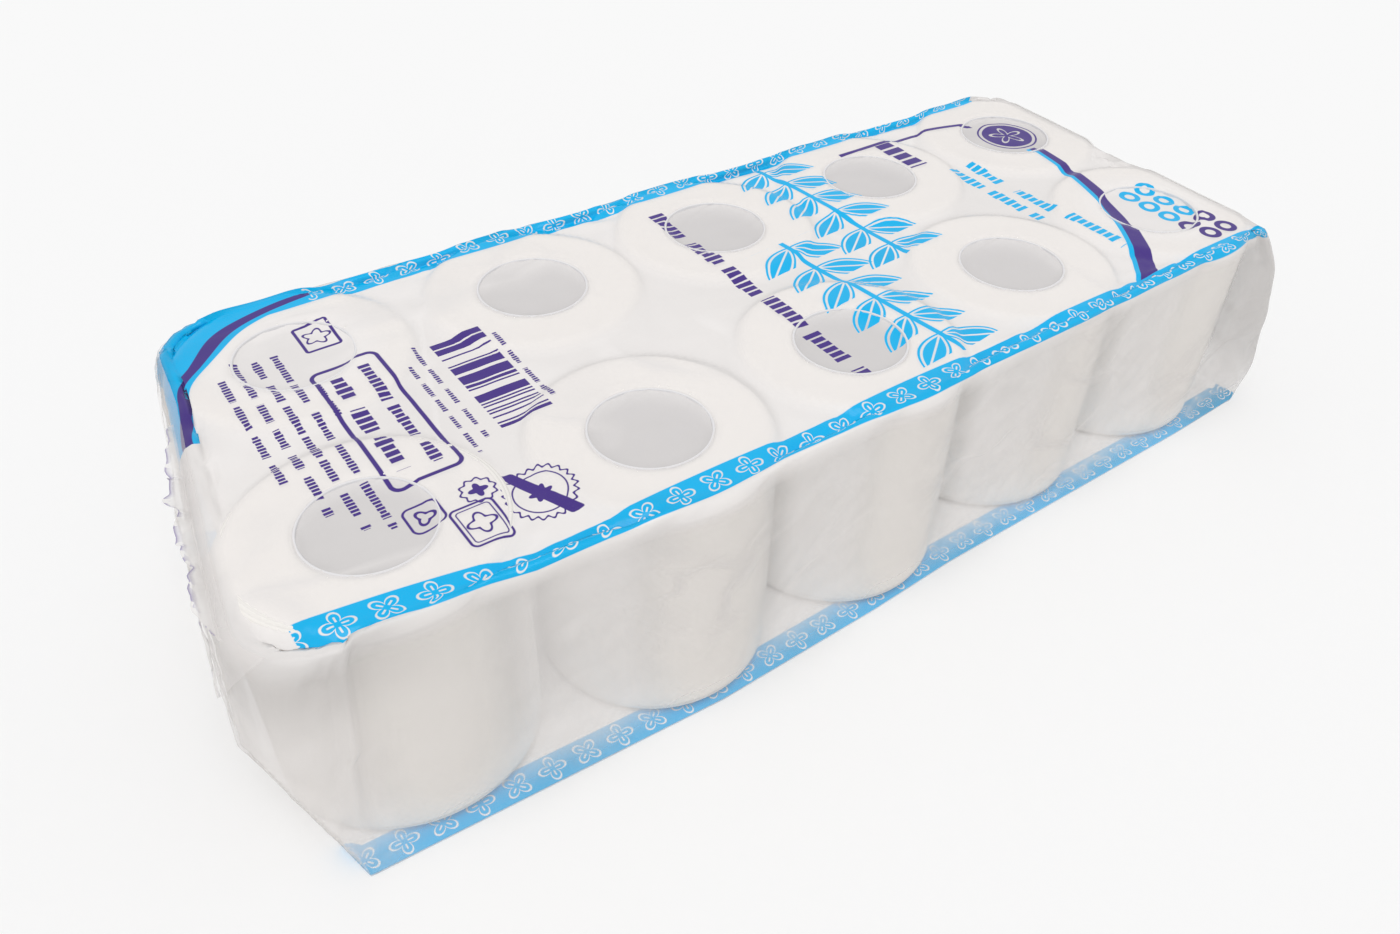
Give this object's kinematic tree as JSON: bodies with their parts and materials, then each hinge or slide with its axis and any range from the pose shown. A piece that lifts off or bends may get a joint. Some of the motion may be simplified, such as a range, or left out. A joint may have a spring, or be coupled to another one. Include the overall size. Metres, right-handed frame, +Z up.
{
  "type": "toilet paper roll pack",
  "caption": "Long pack of toilet rolls standing on end in two rows, held tight in a milky printed plastic film wrap with folded ends and corner ears.",
  "frame": {"origin": "middle of the pack's base, on the surface that it stands on", "axes": "+X along the pack, +Y from the front row to the back row, +Z up along the rolls' axes"},
  "size_m": [0.4988, 0.1986, 0.102],
  "materials": {
    "film": "milky, lightly wrinkled gloss film",
    "tissue": "soft matte embossed tissue",
    "core_board": "matte grey board"
  },
  "bodies": {
    "root": {"film_wrap": "film", "front_roll_1": "tissue", "front_roll_2": "tissue", "front_roll_3": "tissue", "front_roll_4": "tissue", "front_roll_5": "tissue", "back_roll_1": "tissue", "back_roll_2": "tissue", "back_roll_3": "tissue", "back_roll_4": "tissue", "back_roll_5": "tissue", "front_cores": "core_board", "back_cores": "core_board"}
  },
  "joints": []
}
